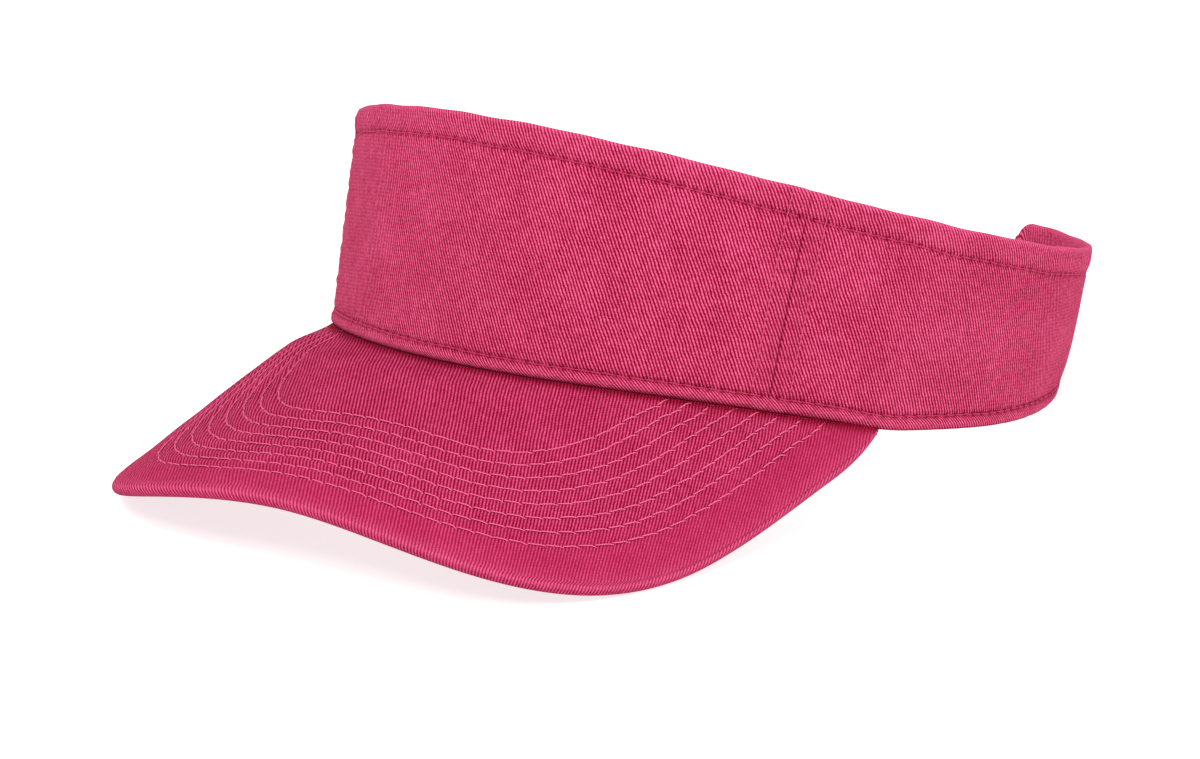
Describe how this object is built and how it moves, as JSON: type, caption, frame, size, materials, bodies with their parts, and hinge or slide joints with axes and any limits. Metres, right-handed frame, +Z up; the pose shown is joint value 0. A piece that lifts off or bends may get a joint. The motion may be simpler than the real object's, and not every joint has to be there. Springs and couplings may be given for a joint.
{
  "type": "sun visor",
  "caption": "Cloth sun visor: a hemmed twill head band open at the top, a quilted stiffened bill, and a hook-and-loop strap that closes the back.",
  "frame": {"origin": "middle of the bounding box in plan, on the table that the visor stands on", "axes": "+X towards the bill, +Y towards the wearer's left, +Z up from the table; the band's own axis leans back from +Z by 15.5 degrees"},
  "size_m": [0.2546, 0.1824, 0.0874],
  "materials": {
    "band_twill": "washed cotton twill, matt",
    "bill_twill": "washed cotton twill, matt",
    "sewing_thread": "lighter pink spun thread",
    "lining_cloth": "plain cotton, matt",
    "sweatband_cloth": "brushed cotton, matt",
    "seam_tape": "ribbed cotton tape",
    "buckram": "stiffened open-weave cotton",
    "loop_pile": "soft brushed loops",
    "hook_pile": "stiff small hooks",
    "label_satin": "blank woven satin",
    "stiffener_board": "smooth bare plastic"
  },
  "bodies": {
    "visor": {"bill_bottom_cover": "bill_twill", "bill_stiffener": "stiffener_board", "bill_stitch_row_1": "sewing_thread", "bill_stitch_row_2": "sewing_thread", "bill_stitch_row_3": "sewing_thread", "bill_stitch_row_4": "sewing_thread", "bill_stitch_row_5": "sewing_thread", "bill_stitch_row_6": "sewing_thread", "bill_stitch_row_7": "sewing_thread", "bill_stitch_row_8": "sewing_thread", "bill_top_cover": "bill_twill", "care_label": "label_satin", "front_edge_thread": "sewing_thread", "front_hem_thread": "sewing_thread", "front_interlining": "buckram", "front_lining": "lining_cloth", "front_panel": "band_twill", "front_sweatband": "sweatband_cloth", "left_edge_thread": "sewing_thread", "left_hem_thread": "sewing_thread", "left_lining": "lining_cloth", "left_panel": "band_twill", "left_seam_tape": "seam_tape", "left_seam_thread_front": "sewing_thread", "left_seam_thread_rear": "sewing_thread", "left_sweatband": "sweatband_cloth", "loop_tape": "loop_pile", "right_edge_thread": "sewing_thread", "right_hem_thread": "sewing_thread", "right_lining": "lining_cloth", "right_panel": "band_twill", "right_seam_tape": "seam_tape", "right_seam_thread_front": "sewing_thread", "right_seam_thread_rear": "sewing_thread", "right_sweatband": "sweatband_cloth", "strap_root_tab": "band_twill", "strap_root_thread": "sewing_thread"},
    "strap": {"closure_strap": "band_twill", "hook_tape": "hook_pile", "strap_edge_thread": "sewing_thread"}
  },
  "joints": [
    {"name": "strap_peel", "type": "hinge", "parent": "visor", "child": "strap", "pos_m": [-0.11472, 0.03534, 0.01216], "axis": [0, 0, -1], "range_deg": [0, 80]}
  ]
}
